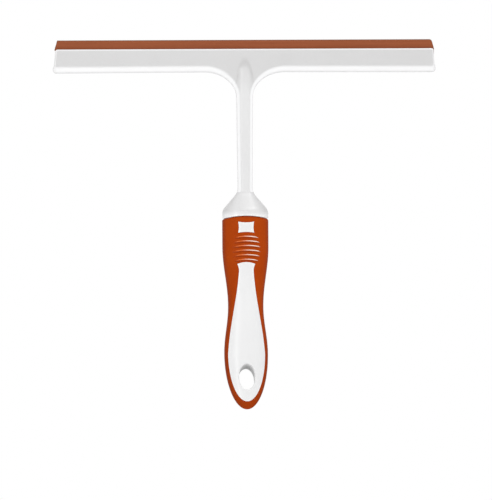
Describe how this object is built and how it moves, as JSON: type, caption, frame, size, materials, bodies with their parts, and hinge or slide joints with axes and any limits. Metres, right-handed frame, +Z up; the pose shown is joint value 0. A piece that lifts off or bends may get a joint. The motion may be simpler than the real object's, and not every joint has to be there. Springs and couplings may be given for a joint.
{
  "type": "window cleaning squeegee",
  "caption": "Hand squeegee: white T head and stem, rubber blade that slides in a channel, and a soft ribbed grip with a keyhole inlay and an oval hanging hole.",
  "frame": {"origin": "middle of the hand's hold, on the grip's centre line at its waist", "axes": "+X along the blade towards the channel's open end, +Z up the handle to the blade, -Y out of the front, where the inlay and ribs are"},
  "size_m": [0.2538, 0.0245, 0.2443],
  "materials": {
    "white_plastic": "smooth satin white moulded plastic",
    "grip_rubber": "matt orange soft-touch rubber, glossier on the ribs",
    "blade_rubber": "dull brown-orange blade rubber"
  },
  "bodies": {
    "frame": {"head_frame": "white_plastic", "shoulder_collar": "white_plastic", "core_front": "white_plastic", "core_back": "white_plastic", "grip": "grip_rubber"},
    "blade_root": {"blade_spine": "blade_rubber"},
    "blade_edge": {"blade_lip": "blade_rubber"}
  },
  "joints": [
    {"name": "blade_slide", "type": "slide", "parent": "frame", "child": "blade_root", "axis": [1, 0, 0], "range_m": [0, 0.25]},
    {"name": "lip_flex", "type": "hinge", "parent": "blade_root", "child": "blade_edge", "pos_m": [0, -0.00353, 0.17073], "axis": [1, 0, 0], "range_deg": [-30, 30], "stiffness_Nm_per_rad": 0.08}
  ]
}
